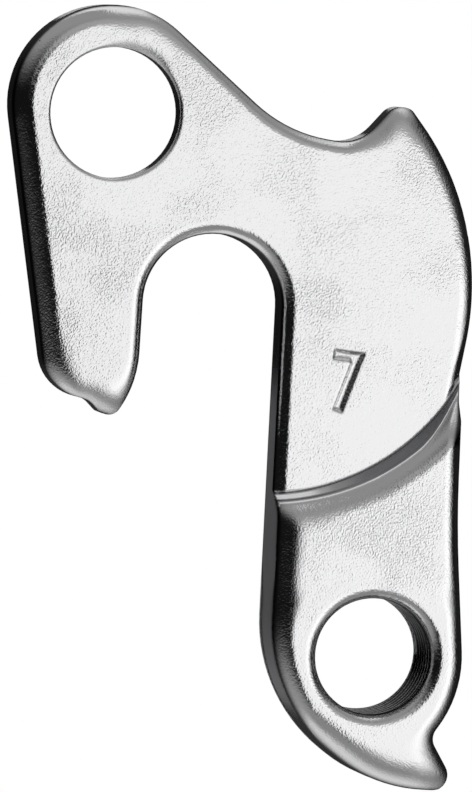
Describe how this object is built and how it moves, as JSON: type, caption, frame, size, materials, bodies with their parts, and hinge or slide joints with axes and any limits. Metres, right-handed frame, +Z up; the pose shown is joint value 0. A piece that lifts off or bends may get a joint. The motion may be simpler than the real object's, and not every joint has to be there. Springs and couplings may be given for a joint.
{
  "type": "bicycle derailleur hanger",
  "caption": "Flat forged bicycle derailleur hanger: a bolt eye, a hooked arm beside an open axle slot, a horn, and a leg that steps up to a thick threaded boss with a stop tab.",
  "frame": {"origin": "where the frame bolt's axis meets the flat back", "axes": "+Z up along the axle slot, which opens towards -Z; -Y is the front, the stepped side with the raised boss; +X points from the arm to the leg, towards the bicycle's rear"},
  "size_m": [0.0373, 0.008, 0.0591],
  "materials": {
    "polished_alloy": "tumbled and polished, with fine pits"
  },
  "bodies": {
    "root": {"hanger": "polished_alloy"}
  },
  "joints": []
}
